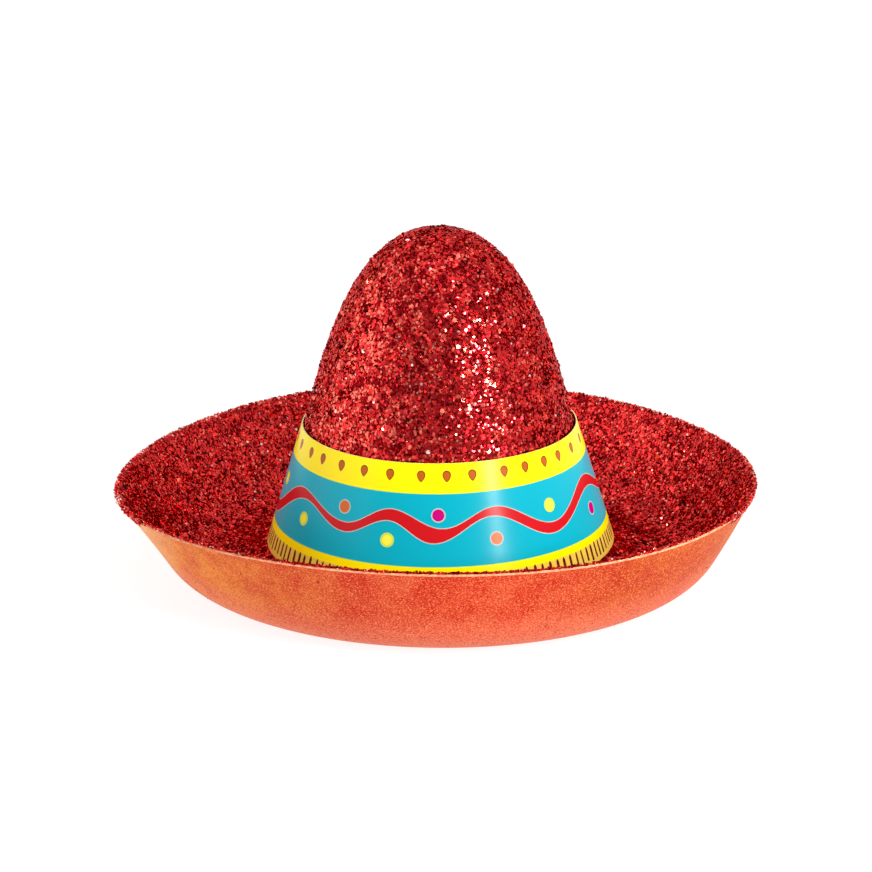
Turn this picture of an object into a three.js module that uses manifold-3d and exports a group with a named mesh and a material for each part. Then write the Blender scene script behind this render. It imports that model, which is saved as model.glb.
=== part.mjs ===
// A mini party sombrero: a thin vacuum-formed plastic shell with its crown and upturned brim in
// one piece, a coat of glitter over the whole of its upper side, and a printed card band that
// stands round the foot of the crown on four dabs of hot-melt glue.
//
// Units are millimetres, +Z is up and the hat's front faces -Y. The hat stands on the flat ring
// at the bottom of its brim, in the plane z = 0, with the origin under the middle of the brim.

import * as THREE from 'three';
import { mergeVertices } from 'three/addons/utils/BufferGeometryUtils.js';
import Module from 'manifold-3d';

// ---------------------------------------------------------------- driving dimensions
const SHELL_THICKNESS = 0.5;
const COAT_INNER = 0.6; // both sides of the glitter coat, above the shell's underside
const COAT_OUTER = 1;
const SIDES = 48; // round the hat

// The hat's section, along the underside of the shell, from the crown's top to the rim.
const CROWN_HEIGHT = 75.87;
const CROWN_TOP_REACH = 14.95; // how far the flat of the top carries outwards
const CROWN_FLANK_REACH = 24.75; // how far the straight of the flank carries upwards
const FLANK_RADIUS = 28.14; // where the dome runs out into the straight flank
const FLANK_HEIGHT = 33.21;
const FLANK_SLOPE = 77; // degrees from the level
const RING_INNER_RADIUS = 48.8; // the flat ring that the hat stands on
const RING_OUTER_RADIUS = 50.1;
const BOWL_RADIUS = 12.8; // the brim's curve from the ring up into its wall
const WALL_SLOPE = 58.5; // degrees from the level
const LIP_RADIUS = 1.5; // the rim's small outward turn
const LIP_SLOPE = 38.3; // degrees from the level, at the cut edge
const RIM_RADIUS = 69.9; // to the cut edge

// The brim isn't quite true: it lifts and dips round the hat, and its rim sits off the crown's axis.
const CROWN_OFFSET = 0.68; // of the crown's axis from the middle of the brim, towards +X
const LIFT_COSINES = [1.3, 0.95, -0.2]; // once, twice and three times round, from the front
const LIFT_SINES = [0.47, -0.23, -0.34];
const WALL_BULGE = 0.68; // of the wall's middle towards +X
const RIM_SHIFT = -0.72; // of the rim towards +X

const COAT_OVERHANG = 0.7; // of the glitter past the shell's cut edge
const COAT_JOIN_GAP = 0.4; // between the crown's coat and the brim's, under the band

// The card band: a cone of card, lapped and glued at the back.
const CARD_THICKNESS = 0.4;
const BAND_TOP_RADIUS = 30.06; // to the card's outer face
const BAND_BOTTOM_RADIUS = 38.19;
const BAND_BOTTOM = 6.7;
const BAND_TOP = 33.5;
const BAND_OFFSET = 0.2; // of the band's axis from the crown's, towards +X
const BAND_TILT = 0.6; // degrees, the +X side up
const LAP_ANGLE = 15; // degrees of card over card
const LAP_RAMP = 40; // degrees over which the outer end climbs onto the inner one
const LAP_GAP = 0.3; // the glue between the two ends
const BAND_STEP = 5; // degrees

// Four dabs of glue hold the band off the crown.
const DAB_COUNT = 4;
const DAB_RADIUS = 3;
const DAB_THICKNESS = 0.8;
const DAB_HEIGHT = 20; // above the ring

// Two holes beside the foot of the crown, for an elastic chin cord.
const CORD_HOLE_RADIUS = 1;
const CORD_HOLE_REACH = 43; // from the crown's axis
const CORD_HOLE_SIDES = 12;

const COLOURS = {
  shell: { color: 0xe0603f, roughness: 0.35, metalness: 0.0 },
  crownGlitter: { color: 0xb01420, roughness: 0.3, metalness: 0.7 },
  brimGlitter: { color: 0x8e0f1c, roughness: 0.3, metalness: 0.7 },
  card: { color: 0x1fb4d6, roughness: 0.3, metalness: 0.0 },
  glue: { color: 0xe8e2cf, roughness: 0.4, metalness: 0.0 },
};

const radians = THREE.MathUtils.degToRad;

// ---------------------------------------------------------------- the hat's section
// A station is a point (r, z) on the shell's underside, with the slope in radians at which the
// section passes through it on its way outwards. The upper side lies to the left of that way.

function offsetPoint(station, distance, along = 0) {
  const sin = Math.sin(station.slope);
  const cos = Math.cos(station.slope);
  return new THREE.Vector2(
    station.r - distance * sin + along * cos,
    station.z + distance * cos + along * sin,
  );
}

// An arc from a station to a new slope. A positive radius turns upwards, a negative one downwards.
function arcStations(start, radius, endSlope, steps) {
  const centre = offsetPoint(start, radius);
  const stations = [];
  for (let i = 1; i <= steps; i += 1) {
    const slope = THREE.MathUtils.lerp(start.slope, endSlope, i / steps);
    stations.push({
      r: centre.x + radius * Math.sin(slope),
      z: centre.y - radius * Math.cos(slope),
      slope,
    });
  }
  return stations;
}

function straightTo(start, distance) {
  const end = offsetPoint(start, 0, distance);
  return { r: end.x, z: end.y, slope: start.slope };
}

function domeStations(steps) {
  const flank = radians(FLANK_SLOPE);
  const dome = new THREE.CubicBezierCurve(
    new THREE.Vector2(0, CROWN_HEIGHT),
    new THREE.Vector2(CROWN_TOP_REACH, CROWN_HEIGHT),
    new THREE.Vector2(
      FLANK_RADIUS - CROWN_FLANK_REACH * Math.cos(flank),
      FLANK_HEIGHT + CROWN_FLANK_REACH * Math.sin(flank),
    ),
    new THREE.Vector2(FLANK_RADIUS, FLANK_HEIGHT),
  );
  const stations = [];
  for (let i = 0; i <= steps; i += 1) {
    const point = dome.getPoint(i / steps);
    const tangent = dome.getTangent(i / steps);
    stations.push({ r: point.x, z: point.y, slope: Math.atan2(tangent.y, tangent.x) });
  }
  stations[0].slope = 0; // level at the very top, on the axis
  return stations;
}

// The fold at the crown's foot is the arc that meets both the flank and the level ring.
function foldRadius() {
  const flank = radians(FLANK_SLOPE);
  const flankFoot = FLANK_RADIUS + FLANK_HEIGHT / Math.tan(flank);
  return (RING_INNER_RADIUS - flankFoot) / Math.tan(flank / 2);
}

function hatSection() {
  const dome = domeStations(9);
  const flankTop = dome[dome.length - 1];
  const fold = foldRadius();
  const flankSlope = radians(FLANK_SLOPE);
  const foldTop = fold * (1 - Math.cos(flankSlope));
  const flankLength = (FLANK_HEIGHT - foldTop) / Math.sin(flankSlope);
  const flankFoot = straightTo(flankTop, flankLength);
  const crown = [...dome, flankFoot];

  const brim = [flankFoot, ...arcStations(flankFoot, fold, 0, 5)];
  const ringOuter = { r: RING_OUTER_RADIUS, z: 0, slope: 0 };
  brim.push(ringOuter, ...arcStations(ringOuter, BOWL_RADIUS, radians(WALL_SLOPE), 5));
  const wallFoot = brim[brim.length - 1];
  const lipReach = LIP_RADIUS * (Math.sin(radians(WALL_SLOPE)) - Math.sin(radians(LIP_SLOPE)));
  const wallLength = (RIM_RADIUS - lipReach - wallFoot.r) / Math.cos(wallFoot.slope);
  const wallTop = straightTo(wallFoot, wallLength);
  brim.push(wallTop, ...arcStations(wallTop, -LIP_RADIUS, radians(LIP_SLOPE), 2));
  return { crown, brim };
}

// ---------------------------------------------------------------- solids
// A closed section (x outwards, y up), turned round the Z axis with its first side facing -Y.
function turned(section) {
  return welded(new THREE.LatheGeometry(section, SIDES)).rotateX(Math.PI / 2);
}

// Shared corners become one vertex each, and triangles with no area are left out.
function welded(geometry) {
  geometry.deleteAttribute('normal');
  geometry.deleteAttribute('uv');
  const merged = mergeVertices(geometry);
  const corners = merged.getIndex().array;
  const kept = [];
  for (let i = 0; i < corners.length; i += 3) {
    const [a, b, c] = corners.slice(i, i + 3);
    if (a !== b && b !== c && c !== a) kept.push(a, b, c);
  }
  merged.setIndex(kept);
  return merged;
}

// Beyond the ring the brim rises and falls round the hat and drifts sideways.
function warpBrim(geometry) {
  const position = geometry.getAttribute('position');
  for (let i = 0; i < position.count; i += 1) {
    const x = position.getX(i);
    const y = position.getY(i);
    const share = (Math.hypot(x, y) - RING_OUTER_RADIUS) / (RIM_RADIUS - RING_OUTER_RADIUS);
    if (share > 0) {
      const round = Math.atan2(x, -y);
      let lift = 0;
      LIFT_COSINES.forEach((size, k) => { lift += size * Math.cos((k + 1) * round); });
      LIFT_SINES.forEach((size, k) => { lift += size * Math.sin((k + 1) * round); });
      const drift = 4 * WALL_BULGE * share * (1 - share) + RIM_SHIFT * share ** 3;
      position.setX(i, x + drift);
      position.setZ(i, position.getZ(i) + lift * share);
    }
  }
  return geometry;
}

const wasm = await Module();
wasm.setup();

function toManifold(geometry) {
  return new wasm.Manifold(new wasm.Mesh({
    numProp: 3,
    vertProperties: new Float32Array(geometry.getAttribute('position').array),
    triVerts: new Uint32Array(geometry.getIndex().array),
  }));
}

function fromManifold(solid) {
  const mesh = solid.getMesh();
  const geometry = new THREE.BufferGeometry();
  geometry.setAttribute('position', new THREE.BufferAttribute(mesh.vertProperties, 3));
  geometry.setIndex(new THREE.BufferAttribute(mesh.triVerts, 1));
  return geometry;
}

function withCordHoles(geometry) {
  let solid = toManifold(geometry);
  for (const side of [-1, 1]) {
    const drill = welded(new THREE.CylinderGeometry(
      CORD_HOLE_RADIUS, CORD_HOLE_RADIUS, BAND_TOP, CORD_HOLE_SIDES,
    ));
    drill.rotateX(Math.PI / 2);
    drill.translate(side * CORD_HOLE_REACH, 0, 0);
    solid = solid.subtract(toManifold(drill));
  }
  return fromManifold(solid);
}

function shellGeometry({ crown, brim }) {
  const stations = [...crown, ...brim.slice(1)];
  const under = stations.map((station) => offsetPoint(station, 0));
  const upper = stations.map((station) => offsetPoint(station, SHELL_THICKNESS));
  return withCordHoles(warpBrim(turned([...under, ...upper.reverse()])));
}

function crownCoatGeometry({ crown }) {
  const flankTop = crown.at(-2);
  const flankFoot = crown.at(-1);
  const length = Math.hypot(flankFoot.r - flankTop.r, flankFoot.z - flankTop.z);
  const stations = [...crown.slice(0, -1), straightTo(flankTop, length - COAT_JOIN_GAP)];
  const inner = stations.map((station) => offsetPoint(station, COAT_INNER));
  const outer = stations.map((station) => offsetPoint(station, COAT_OUTER));
  return turned([...inner, ...outer.reverse()]);
}

function brimCoatGeometry({ brim }) {
  const stations = [...brim, straightTo(brim.at(-1), COAT_OVERHANG)];
  const inner = stations.map((station) => offsetPoint(station, COAT_INNER));
  const outer = stations.map((station) => offsetPoint(station, COAT_OUTER));
  const section = [...inner, ...outer.reverse()];
  section.push(section[0].clone());
  return withCordHoles(warpBrim(turned(section)));
}

// The band is drawn as a flat spiral strip of the size of its lower edge, raised, and then drawn
// in towards its top.
function bandGeometry() {
  const outer = [];
  const inner = [];
  const lapStart = 180 - LAP_ANGLE / 2;
  for (let turn = 0; turn <= 360 + LAP_ANGLE; turn += BAND_STEP) {
    const climb = THREE.MathUtils.smoothstep(turn, 360 - LAP_RAMP, 360);
    const radius = BAND_BOTTOM_RADIUS + climb * (CARD_THICKNESS + LAP_GAP);
    const round = radians(lapStart + turn);
    const direction = new THREE.Vector2(Math.sin(round), -Math.cos(round));
    outer.push(direction.clone().multiplyScalar(radius));
    inner.push(direction.clone().multiplyScalar(radius - CARD_THICKNESS));
  }
  const height = BAND_TOP - BAND_BOTTOM;
  const strip = new THREE.Shape([...outer, ...inner.reverse()]);
  const geometry = welded(
    new THREE.ExtrudeGeometry(strip, { depth: height, bevelEnabled: false }),
  );
  const position = geometry.getAttribute('position');
  for (let i = 0; i < position.count; i += 1) {
    const x = position.getX(i);
    const y = position.getY(i);
    const radius = Math.hypot(x, y);
    const drawIn = (BAND_BOTTOM_RADIUS - BAND_TOP_RADIUS) * (position.getZ(i) / height);
    const scale = (radius - drawIn) / radius;
    position.setX(i, x * scale);
    position.setY(i, y * scale);
  }
  return geometry.translate(0, 0, -height / 2);
}

function dabGeometry() {
  const geometry = welded(new THREE.SphereGeometry(1, 16, 8));
  return geometry.scale(DAB_RADIUS, DAB_THICKNESS / 2, DAB_RADIUS);
}

// ---------------------------------------------------------------- the assembly
function namedMesh(name, geometry, look) {
  const mesh = new THREE.Mesh(geometry, new THREE.MeshStandardMaterial(look));
  mesh.name = name;
  return mesh;
}

const section = hatSection();

const hat = new THREE.Group();
hat.position.x = CROWN_OFFSET;
hat.add(namedMesh('hat_shell', shellGeometry(section), COLOURS.shell));
hat.add(namedMesh('crown_glitter_coat', crownCoatGeometry(section), COLOURS.crownGlitter));
hat.add(namedMesh('brim_glitter_coat', brimCoatGeometry(section), COLOURS.brimGlitter));

const band = namedMesh('hat_band', bandGeometry(), COLOURS.card);
band.position.set(BAND_OFFSET, 0, (BAND_TOP + BAND_BOTTOM) / 2);
band.rotation.y = -radians(BAND_TILT);
hat.add(band);

// Each dab sits midway between the crown's coat and the card, leaning as they do.
const coatRadius = FLANK_RADIUS + (FLANK_HEIGHT - DAB_HEIGHT) / Math.tan(radians(FLANK_SLOPE))
  + COAT_OUTER / Math.sin(radians(FLANK_SLOPE));
const bandSlope = (BAND_BOTTOM_RADIUS - BAND_TOP_RADIUS) / (BAND_TOP - BAND_BOTTOM);
const cardRadius = BAND_TOP_RADIUS - CARD_THICKNESS + (BAND_TOP - DAB_HEIGHT) * bandSlope;
for (let i = 0; i < DAB_COUNT; i += 1) {
  const dab = namedMesh(`band_glue_dab_${i + 1}`, dabGeometry(), COLOURS.glue);
  dab.position.set(0, -(coatRadius + cardRadius) / 2, DAB_HEIGHT);
  dab.rotation.x = -Math.atan(bandSlope);
  const spoke = new THREE.Group();
  spoke.rotation.z = radians((i + 0.5) * (360 / DAB_COUNT));
  spoke.add(dab);
  hat.add(spoke);
}

const sombrero = new THREE.Group();
sombrero.add(hat);

export default sombrero;
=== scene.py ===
"""Looks of the mini glitter sombrero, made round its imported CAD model.

The hat is one thin plastic shell with a coat of glitter on its upper side and a printed card band
round the crown. Lengths below are millimetres and turn into metres where a mesh is made. Angles
round the hat are degrees from the front (-Y), growing towards +X.
"""

import math

import bmesh
import bpy
import numpy as np
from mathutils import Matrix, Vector, noise
from mathutils.geometry import delaunay_2d_cdt


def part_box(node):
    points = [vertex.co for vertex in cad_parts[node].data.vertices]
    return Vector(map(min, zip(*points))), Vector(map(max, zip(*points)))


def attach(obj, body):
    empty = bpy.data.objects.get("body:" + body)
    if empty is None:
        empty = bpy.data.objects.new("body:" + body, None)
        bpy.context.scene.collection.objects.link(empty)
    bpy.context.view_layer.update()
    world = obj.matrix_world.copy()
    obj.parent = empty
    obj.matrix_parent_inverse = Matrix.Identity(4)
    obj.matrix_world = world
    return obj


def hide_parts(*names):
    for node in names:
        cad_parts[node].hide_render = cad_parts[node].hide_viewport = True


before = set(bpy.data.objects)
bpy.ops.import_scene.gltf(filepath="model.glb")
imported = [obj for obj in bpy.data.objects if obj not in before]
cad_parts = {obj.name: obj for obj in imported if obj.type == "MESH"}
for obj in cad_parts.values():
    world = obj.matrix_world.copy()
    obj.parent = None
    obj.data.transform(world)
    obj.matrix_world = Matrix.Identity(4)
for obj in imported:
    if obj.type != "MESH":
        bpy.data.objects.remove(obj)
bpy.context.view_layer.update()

MM = 0.001
SEED = 20

# ------------------------------------------------------------------ the hat's section, as in CAD
SHELL_THICKNESS = 0.5
COAT_INNER = 0.6
COAT_OUTER = 1.0

CROWN_HEIGHT = 75.87
CROWN_TOP_REACH = 14.95
CROWN_FLANK_REACH = 24.75
FLANK_RADIUS = 28.14
FLANK_HEIGHT = 33.21
FLANK_SLOPE = math.radians(77)
RING_INNER_RADIUS = 48.8
RING_OUTER_RADIUS = 50.1
BOWL_RADIUS = 12.8
WALL_SLOPE = math.radians(58.5)
LIP_RADIUS = 1.5
LIP_SLOPE = math.radians(38.3)
RIM_RADIUS = 69.9

# The brim's warp: it lifts and dips round the hat, and its wall and rim sit off the crown's axis.
LIFT_COSINES = (1.3, 0.95, -0.2)  # once, twice and three times round, from the front
LIFT_SINES = (0.47, -0.23, -0.34)
WALL_BULGE = 0.68  # towards +X
RIM_SHIFT = -0.72  # towards +X

COAT_OVERHANG = 0.7  # of the glitter past the cut edge
FLAKE_ACROSS = 0.5  # between two flats of the hexagon

CORD_HOLE_RADIUS = 1.0
CORD_HOLE_REACH = 43.0  # from the crown's axis
CORD_HOLE_SIDES = 24
DRILL_LENGTH = 40.0

DOME_LENGTH = 55  # about, along the crown's curve

crown_low, crown_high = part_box("crown_glitter_coat")
AXIS_X = (crown_low.x + crown_high.x) / 2 / MM  # the crown's axis, off the brim's middle


class Section:
    """Points along the shell's underside with the slope there, from the crown's top outwards."""

    def __init__(self, step):
        self.step = step
        self.r, self.z, self.slope = [], [], []

    def add(self, r, z, slope):
        self.r.append(r)
        self.z.append(z)
        self.slope.append(slope)

    def dome(self):
        cos, sin = math.cos(FLANK_SLOPE), math.sin(FLANK_SLOPE)
        ends = np.array(
            [
                (0, CROWN_HEIGHT),
                (CROWN_TOP_REACH, CROWN_HEIGHT),
                (FLANK_RADIUS - CROWN_FLANK_REACH * cos, FLANK_HEIGHT + CROWN_FLANK_REACH * sin),
                (FLANK_RADIUS, FLANK_HEIGHT),
            ]
        )
        count = math.ceil(DOME_LENGTH / self.step)
        for t in np.linspace(0, 1, count + 1):
            u = 1 - t
            point = u**3 * ends[0] + 3 * u * u * t * ends[1] + 3 * u * t * t * ends[2] + t**3 * ends[3]
            way = (
                u * u * (ends[1] - ends[0])
                + 2 * u * t * (ends[2] - ends[1])
                + t * t * (ends[3] - ends[2])
            )
            self.add(point[0], point[1], math.atan2(way[1], way[0]))

    def arc(self, radius, end_slope):
        """A positive radius turns upwards, a negative one downwards."""
        r, z, slope = self.r[-1], self.z[-1], self.slope[-1]
        centre_r = r - radius * math.sin(slope)
        centre_z = z + radius * math.cos(slope)
        count = max(2, math.ceil(abs(radius * (end_slope - slope)) / self.step))
        for a in np.linspace(slope, end_slope, count + 1)[1:]:
            self.add(centre_r + radius * math.sin(a), centre_z - radius * math.cos(a), a)

    def straight(self, length):
        r, z, slope = self.r[-1], self.z[-1], self.slope[-1]
        count = max(1, math.ceil(length / self.step))
        for d in np.linspace(0, length, count + 1)[1:]:
            self.add(r + d * math.cos(slope), z + d * math.sin(slope), slope)


def hat_section(step):
    """The whole section as arrays r, z and slope, and where the crown's part of it ends."""
    flank_foot = FLANK_RADIUS + FLANK_HEIGHT / math.tan(FLANK_SLOPE)
    fold = (RING_INNER_RADIUS - flank_foot) / math.tan(FLANK_SLOPE / 2)
    line = Section(step)
    line.dome()
    line.straight((FLANK_HEIGHT - fold * (1 - math.cos(FLANK_SLOPE))) / math.sin(FLANK_SLOPE))
    crown_end = len(line.r)
    line.arc(fold, 0)
    line.straight(RING_OUTER_RADIUS - RING_INNER_RADIUS)
    line.arc(BOWL_RADIUS, WALL_SLOPE)
    lip_reach = LIP_RADIUS * (math.sin(WALL_SLOPE) - math.sin(LIP_SLOPE))
    line.straight((RIM_RADIUS - lip_reach - line.r[-1]) / math.cos(WALL_SLOPE))
    line.arc(-LIP_RADIUS, LIP_SLOPE)
    return np.array(line.r), np.array(line.z), np.array(line.slope), crown_end


def offset(r, z, slope, distance, along=0.0):
    """Points a distance above the shell's underside, or below it where the distance is negative."""
    return (
        r - distance * np.sin(slope) + along * np.cos(slope),
        z + distance * np.cos(slope) + along * np.sin(slope),
    )


def placed(r, z, angle):
    """Metres, from a radius, a height and an angle in radians, with the brim's warp put in."""
    x = r * np.sin(angle)
    y = -r * np.cos(angle)
    share = np.maximum(0, (r - RING_OUTER_RADIUS) / (RIM_RADIUS - RING_OUTER_RADIUS))
    lift = sum(size * np.cos((k + 1) * angle) for k, size in enumerate(LIFT_COSINES))
    lift = lift + sum(size * np.sin((k + 1) * angle) for k, size in enumerate(LIFT_SINES))
    drift = 4 * WALL_BULGE * share * (1 - share) + RIM_SHIFT * share**3
    return np.stack([x + drift + AXIS_X, y, z + lift * share], axis=-1) * MM


# ------------------------------------------------------------------ mesh helpers
ON_AXIS = 1e-6  # a section point nearer the axis than this lies on it


def make_piece(name, points, faces, materials, indices=None):
    mesh = bpy.data.meshes.new(name)
    mesh.from_pydata([tuple(p) for p in points], [], faces)
    for material in materials:
        mesh.materials.append(material)
    if indices is not None:
        mesh.polygons.foreach_set("material_index", np.asarray(indices, np.int32))
    mesh.polygons.foreach_set("use_smooth", np.ones(len(mesh.polygons), bool))
    mesh.update()
    piece = bpy.data.objects.new(name, mesh)
    bpy.context.scene.collection.objects.link(piece)
    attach(piece, "root")
    return piece


def turned(r, z, around, lumps=None):
    """Points and faces of a closed section turned round the crown's axis. Section points on the
    axis become one point each. The section runs clockwise seen with r to the right and z up."""
    angles = np.linspace(0, 2 * math.pi, around, endpoint=False)
    points, rings = [], []
    for i in range(len(r)):
        start = len(points)
        if r[i] < ON_AXIS:
            points.extend(placed(np.array([0.0]), np.array([z[i]]), np.array([0.0])))
            rings.append([start] * around)
        else:
            ring_r = np.full(around, r[i])
            ring_z = np.full(around, z[i])
            if lumps is not None:
                ring_r, ring_z = lumps(ring_r, ring_z, angles)
            points.extend(placed(ring_r, ring_z, angles))
            rings.append(list(range(start, start + around)))
    faces = []
    pairs = list(zip(rings, rings[1:]))
    if r[0] > ON_AXIS:
        pairs.append((rings[-1], rings[0]))
    for low, high in pairs:
        for k in range(around):
            n = (k + 1) % around
            face = [low[k], low[n], high[n], high[k]]
            face = [v for j, v in enumerate(face) if v != face[j - 1]]
            if len(face) > 2:
                faces.append(face)
    return points, faces


# ------------------------------------------------------------------ materials
class Look:
    """A Principled material under construction."""

    def __init__(self, name):
        self.material = bpy.data.materials.new(name)
        self.material.use_nodes = True
        self.tree = self.material.node_tree
        self.shader = self.tree.nodes["Principled BSDF"]

    def set(self, **values):
        for name, value in values.items():
            self.shader.inputs[name.replace("_", " ")].default_value = value
        return self

    def node(self, kind, **settings):
        node = self.tree.nodes.new(kind)
        for name, value in settings.items():
            if name in node.inputs:
                node.inputs[name].default_value = value
            else:
                setattr(node, name, value)
        return node

    def link(self, out, socket):
        self.tree.links.new(out, socket)

    def position(self):
        return self.node("ShaderNodeTexCoord").outputs["Object"]

    def noise(self, size, detail=2.0, roughness=0.5):
        """Fractal noise with features about size metres across."""
        texture = self.node("ShaderNodeTexNoise", Scale=1 / size, Detail=detail, Roughness=roughness)
        self.link(self.position(), texture.inputs["Vector"])
        return texture.outputs["Fac"]

    def cells(self, size, output="Color"):
        texture = self.node("ShaderNodeTexVoronoi", Scale=1 / size)
        self.link(self.position(), texture.inputs["Vector"])
        return texture.outputs[output]

    def fade(self, value, start, end):
        """0 up to the start value and 1 from the end value, which may be the lower one."""
        node = self.node("ShaderNodeMapRange")
        node.inputs["From Min"].default_value = start
        node.inputs["From Max"].default_value = end
        self.link(value, node.inputs["Value"])
        return node.outputs[0]

    def ramp(self, factor, stops):
        ramp = self.node("ShaderNodeValToRGB")
        elements = ramp.color_ramp.elements
        while len(elements) < len(stops):
            elements.new(0.5)
        for element, (place, colour) in zip(elements, stops):
            element.position = place
            element.color = (*colour, 1)
        self.link(factor, ramp.inputs["Fac"])
        return ramp.outputs["Color"]

    def mix(self, factor, first, second, blend="MIX"):
        node = self.node("ShaderNodeMix", data_type="RGBA", blend_type=blend)
        sockets = (node.inputs[0], node.inputs[6], node.inputs[7])
        for value, socket in zip((factor, first, second), sockets):
            if isinstance(value, tuple):
                socket.default_value = (*value, 1)
            else:
                self.link(value, socket)
        return node.outputs[2]

    def bump(self, height, distance, strength=1.0):
        node = self.node("ShaderNodeBump", Distance=distance, Strength=strength)
        self.link(height, node.inputs["Height"])
        self.link(node.outputs["Normal"], self.shader.inputs["Normal"])


def plain_look(name, colour, **values):
    return Look(name).set(Base_Color=(*colour, 1), **values).material


# Metres over which the sheet's colour turns.
REDDEST_X = 0.006
# Painted light through the sheet turns it orange towards the two sides.
SIDES_PAINTED_LIGHT_TURN = (0.022, 0.060)  # away from the reddest place, from coral to orange
# Painted shade deepens the sheet's right side.
RIGHT_PAINTED_SHADE_TURN = (0.015, 0.040)  # along X, into a deeper orange
# Painted light from the floor makes the sheet paler low down.
LOW_PAINTED_LIGHT_TURN = (0.012, 0.0)  # down along Z
TIP_TURN = (0.060, 0.069)  # away from the reddest place, paler at the rim's two ends

# Millimetres across the sheet's patterns.
MOTTLE_SIZE = 8
BLOTCH_SIZE = 18
GRAIN_SIZE = 0.36
RIPPLE_SIZE = 0.5
RIPPLE_HEIGHT = 0.04


def shell_look():
    """Thin coral sheet, with painted light through the sheet turning it orange towards the hat's two
    sides, painted shade deepening its right and painted light from the floor making it paler low down.
    It is mottled by the glue behind it and finely grained."""
    look = Look("coral_sheet").set(Roughness=0.5, Specular_IOR_Level=0.07)
    split = look.node("ShaderNodeSeparateXYZ")
    look.link(look.position(), split.inputs[0])
    shifted = look.node("ShaderNodeMath", operation="SUBTRACT")
    shifted.inputs[1].default_value = REDDEST_X
    across = look.node("ShaderNodeMath", operation="ABSOLUTE")
    look.link(split.outputs["X"], shifted.inputs[0])
    look.link(shifted.outputs[0], across.inputs[0])
    mottle = look.noise(MOTTLE_SIZE * MM, 4, 0.65)
    middle = look.ramp(mottle, [(0.38, (0.56, 0.022, 0.006)), (0.64, (0.66, 0.082, 0.028))])
    # Painted light: the sides' orange stands in for light coming through the sheet.
    sides = look.ramp(mottle, [(0.38, (0.68, 0.100, 0.008)), (0.60, (0.82, 0.260, 0.018))])
    colour = look.mix(look.fade(across.outputs[0], *SIDES_PAINTED_LIGHT_TURN), middle, sides)
    blotches = look.noise(BLOTCH_SIZE * MM, 1)
    colour = look.mix(look.fade(blotches, 0.52, 0.66), colour, middle)
    # Painted shade: a deeper orange multiplied in on the right.
    right = look.fade(split.outputs["X"], *RIGHT_PAINTED_SHADE_TURN)
    colour = look.mix(right, colour, (0.70, 0.49, 0.20), "MULTIPLY")
    # Painted light from the floor: paler towards the bottom.
    low = look.fade(split.outputs["Z"], *LOW_PAINTED_LIGHT_TURN)
    colour = look.mix(low, colour, (0.82, 0.20, 0.11))
    tip = look.fade(across.outputs[0], *TIP_TURN)
    colour = look.mix(tip, colour, (0.86, 0.42, 0.16))
    grain = look.noise(GRAIN_SIZE * MM, 3, 0.75)
    colour = look.mix(look.fade(grain, 0.53, 0.66), colour, (0.92, 0.27, 0.10))
    colour = look.mix(look.fade(grain, 0.47, 0.34), colour, (0.30, 0.016, 0.004))
    look.link(colour, look.shader.inputs["Base Color"])
    look.bump(look.noise(RIPPLE_SIZE * MM, 2), RIPPLE_HEIGHT * MM, 0.6)
    return look.material


def cut_edge_look():
    """The frosted edge where the sheet was cut. Its pale orange is partly the frosting and partly
    painted light catching the edge.
    """
    look = Look("cut_edge").set(Roughness=0.6, Specular_IOR_Level=0.2)
    # Partly painted light: the paler orange stands in for light catching the edge.
    colour = look.ramp(look.noise(0.8 * MM), [(0.3, (0.86, 0.20, 0.08)), (0.7, (0.96, 0.50, 0.28))])
    look.link(colour, look.shader.inputs["Base Color"])
    return look.material


FLAKE_EDGE_TINT = (1.0, 0.12, 0.10, 1.0)  # keeps the glitter red where it is seen at a slant


def bed_look(name, dark, middle, bright):
    """The bed of glitter under the loose flakes: cells of many reds, each a flake's size."""
    look = Look(name).set(Metallic=0.55, Roughness=0.5, Specular_IOR_Level=0.1)
    look.set(Specular_Tint=FLAKE_EDGE_TINT)
    cell = look.node("ShaderNodeSeparateColor")
    look.link(look.cells(FLAKE_ACROSS * MM), cell.inputs[0])
    reds = look.ramp(cell.outputs[0], [(0.0, dark), (0.55, middle), (0.95, bright)])
    look.link(reds, look.shader.inputs["Base Color"])
    look.bump(look.cells(FLAKE_ACROSS * MM, "Distance"), 0.15 * MM)
    return look.material


# ------------------------------------------------------------------ shell
SHELL_STEP = 0.9  # along the section
SHELL_SIDES = 216  # round the hat


def hole_distance(points):
    """Metres from points to the nearer cord hole's axis."""
    x = np.abs(points[..., 0] - AXIS_X * MM) - CORD_HOLE_REACH * MM
    return np.hypot(x, points[..., 1])


def drill_cord_holes(piece, wall_material=0):
    """Two holes for an elastic cord, through the sheet or the coat."""
    for side in (-1, 1):
        drill = bmesh.new()
        bmesh.ops.create_cone(
            drill,
            cap_ends=True,
            segments=CORD_HOLE_SIDES,
            radius1=CORD_HOLE_RADIUS * MM,
            radius2=CORD_HOLE_RADIUS * MM,
            depth=DRILL_LENGTH * MM,
        )
        hole_x = (AXIS_X + side * CORD_HOLE_REACH) * MM
        bmesh.ops.translate(drill, verts=drill.verts, vec=(hole_x, 0, 0))
        mesh = bpy.data.meshes.new("drill")
        drill.to_mesh(mesh)
        drill.free()
        cutter = bpy.data.objects.new("drill", mesh)
        bpy.context.scene.collection.objects.link(cutter)
        cut = piece.modifiers.new("drill", "BOOLEAN")
        cut.operation = "DIFFERENCE"
        cut.object = cutter
        evaluated = piece.evaluated_get(bpy.context.evaluated_depsgraph_get())
        drilled = bpy.data.meshes.new_from_object(evaluated)
        piece.modifiers.clear()
        piece.data = drilled
        bpy.data.objects.remove(cutter)
    for face in piece.data.polygons:
        on_wall = hole_distance(np.array(face.center)) < CORD_HOLE_RADIUS * MM * 1.01
        if on_wall:
            face.material_index = wall_material
            face.use_smooth = False


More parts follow.
